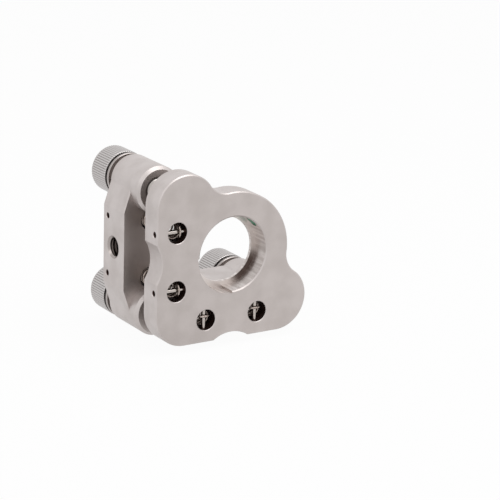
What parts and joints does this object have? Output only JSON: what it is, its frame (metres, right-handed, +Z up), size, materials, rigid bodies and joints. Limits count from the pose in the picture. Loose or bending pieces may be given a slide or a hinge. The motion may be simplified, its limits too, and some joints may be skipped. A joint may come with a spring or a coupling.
{
  "type": "kinematic mirror mount",
  "caption": "Kinematic mirror mount: a lobed optic plate, held by springs against fine adjuster screws in an L-shaped rear plate, tilts and shifts as the knurled knobs turn.",
  "frame": {"origin": "on the optic's axis, in the plane of the seat that the optic rests against", "axes": "-Y along the optic bore, out through the front face; +X to the right seen from the front; +Z up"},
  "size_m": [0.0476, 0.0359, 0.0476],
  "materials": {
    "satin_steel": "fine satin, bead-blasted look with bright chamfers",
    "knob_steel": "fine straight knurl, satin",
    "bushing_steel": "turned and bright",
    "screw_steel": "turned and bright",
    "hardened_steel": "polished",
    "pin_steel": "ground and bright",
    "spring_wire": "drawn stainless spring wire, slightly glossy",
    "green_nylon": "smooth nylon"
  },
  "bodies": {
    "rear": {"rear_plate": "satin_steel", "bushing_ul": "bushing_steel", "bushing_ll": "bushing_steel", "bushing_lr": "bushing_steel", "rear_pin_left_upper": "pin_steel", "rear_pin_left_lower": "pin_steel", "rear_pin_bottom_left": "pin_steel", "rear_pin_bottom_right": "pin_steel", "spring_left_upper": "spring_wire", "spring_left_lower": "spring_wire", "spring_bottom_left": "spring_wire", "spring_bottom_right": "spring_wire"},
    "lower_left_stage": {"cone_seat": "hardened_steel"},
    "upper_left_stage": {"groove_seat": "hardened_steel"},
    "front": {"front_plate": "satin_steel", "flat_seat": "hardened_steel", "front_pin_left_upper": "pin_steel", "front_pin_left_lower": "pin_steel", "front_pin_bottom_left": "pin_steel", "front_pin_bottom_right": "pin_steel"},
    "clamp_nylon": {"clamp_tip": "green_nylon"},
    "clamp_metal": {"clamp_screw": "screw_steel"},
    "ball_tip_ul": {"ball_ul": "hardened_steel"},
    "adjuster_ul": {"screw_ul": "screw_steel", "knob_ul": "knob_steel"},
    "ball_tip_ll": {"ball_ll": "hardened_steel"},
    "adjuster_ll": {"screw_ll": "screw_steel", "knob_ll": "knob_steel"},
    "ball_tip_lr": {"ball_lr": "hardened_steel"},
    "adjuster_lr": {"screw_lr": "screw_steel", "knob_lr": "knob_steel"}
  },
  "joints": [
    {"name": "tilt_ll", "type": "hinge", "parent": "rear", "child": "lower_left_stage", "pos_m": [0, 0.00205, 0], "axis": [0.7071, 0, -0.7071], "range_deg": [-1.85, 3.69]},
    {"name": "tilt_ul", "type": "hinge", "parent": "lower_left_stage", "child": "upper_left_stage", "pos_m": [0, 0.00205, -0.0165], "axis": [-1, 0, 0], "range_deg": [-1.31, 2.61]},
    {"name": "tilt_lr", "type": "hinge", "parent": "upper_left_stage", "child": "front", "pos_m": [-0.0165, 0.00205, 0], "axis": [0, 0, 1], "range_deg": [-1.31, 2.61], "deforming": ["spring_left_upper", "spring_left_lower", "spring_bottom_left", "spring_bottom_right"]},
    {"name": "advance_ul", "type": "slide", "parent": "rear", "child": "ball_tip_ul", "axis": [0, 1, 0], "range_m": [-0.00075, 0.0015]},
    {"name": "turn_ul", "type": "hinge", "parent": "ball_tip_ul", "child": "adjuster_ul", "pos_m": [-0.0165, 0.025, 0.0165], "axis": [0, 1, 0], "range_deg": [-1085, 2165]},
    {"name": "advance_ll", "type": "slide", "parent": "rear", "child": "ball_tip_ll", "axis": [0, 1, 0], "range_m": [-0.00075, 0.0015]},
    {"name": "turn_ll", "type": "hinge", "parent": "ball_tip_ll", "child": "adjuster_ll", "pos_m": [-0.0165, 0.025, -0.0165], "axis": [0, 1, 0], "range_deg": [-1085, 2165]},
    {"name": "advance_lr", "type": "slide", "parent": "rear", "child": "ball_tip_lr", "axis": [0, 1, 0], "range_m": [-0.00075, 0.0015]},
    {"name": "turn_lr", "type": "hinge", "parent": "ball_tip_lr", "child": "adjuster_lr", "pos_m": [0.0165, 0.025, -0.0165], "axis": [0, 1, 0], "range_deg": [-1085, 2165]},
    {"name": "clamp_advance", "type": "slide", "parent": "front", "child": "clamp_nylon", "axis": [0.7071, 0, 0.7071], "range_m": [-0.00044, 0.00105]},
    {"name": "clamp_turn", "type": "hinge", "parent": "clamp_nylon", "child": "clamp_metal", "pos_m": [0.0099, -0.0023, 0.0099], "axis": [0.7071, 0, 0.7071], "range_deg": [-230, 545]}
  ],
  "couplings": [
    {"joint": "tilt_ll", "follows": "advance_ll", "rad_per_m": 42.855},
    {"joint": "tilt_ul", "follows": "advance_ul", "rad_per_m": 30.303},
    {"joint": "tilt_lr", "follows": "advance_lr", "rad_per_m": 30.303},
    {"joint": "turn_ul", "follows": "advance_ul", "rad_per_m": 25133},
    {"joint": "turn_ll", "follows": "advance_ll", "rad_per_m": 25133},
    {"joint": "turn_lr", "follows": "advance_lr", "rad_per_m": 25133},
    {"joint": "clamp_turn", "follows": "clamp_advance", "rad_per_m": 8976}
  ]
}
